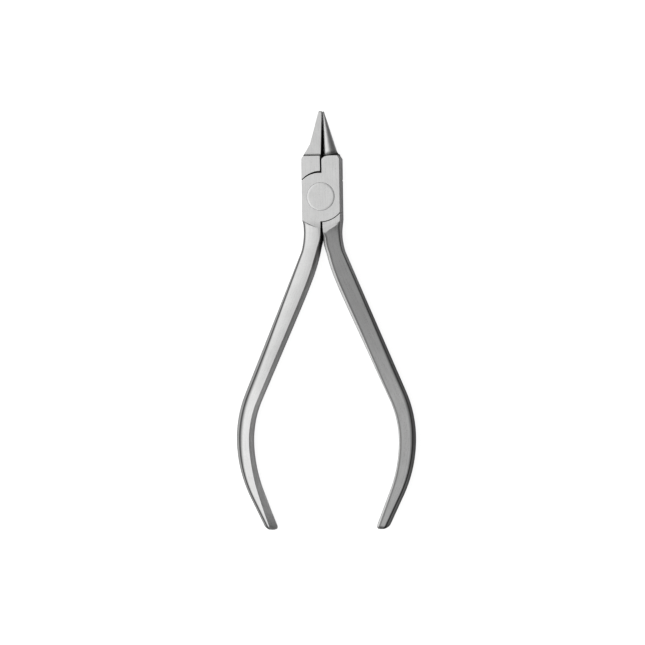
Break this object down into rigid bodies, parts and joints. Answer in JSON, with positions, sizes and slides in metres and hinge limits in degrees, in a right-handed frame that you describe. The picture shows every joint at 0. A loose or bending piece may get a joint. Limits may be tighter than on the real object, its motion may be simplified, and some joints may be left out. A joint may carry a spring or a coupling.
{
  "type": "crimping pliers",
  "caption": "Slim lap-joint bench pliers with one conical and one flat-sided beak, a flush riveted pivot and two bowed bare-steel handles.",
  "frame": {"origin": "pivot axis where it meets the flat back face the pliers lie on", "axes": "+Y towards the beak tips, +Z along the pivot axis out of the front face, +X towards the side of the cone beak"},
  "size_m": [0.0534, 0.1246, 0.008],
  "materials": {
    "satin_steel": "satin brushed stainless steel",
    "pin_steel": "ground flush with the joint face, satin"
  },
  "bodies": {
    "front_lever": {"front_half": "satin_steel"},
    "back_lever": {"back_half": "satin_steel", "pivot_pin": "pin_steel"}
  },
  "joints": [
    {"name": "pivot", "type": "hinge", "parent": "front_lever", "child": "back_lever", "pos_m": [0, 0, 0.004], "axis": [0, 0, 1], "range_deg": [-0.1, 60]}
  ]
}
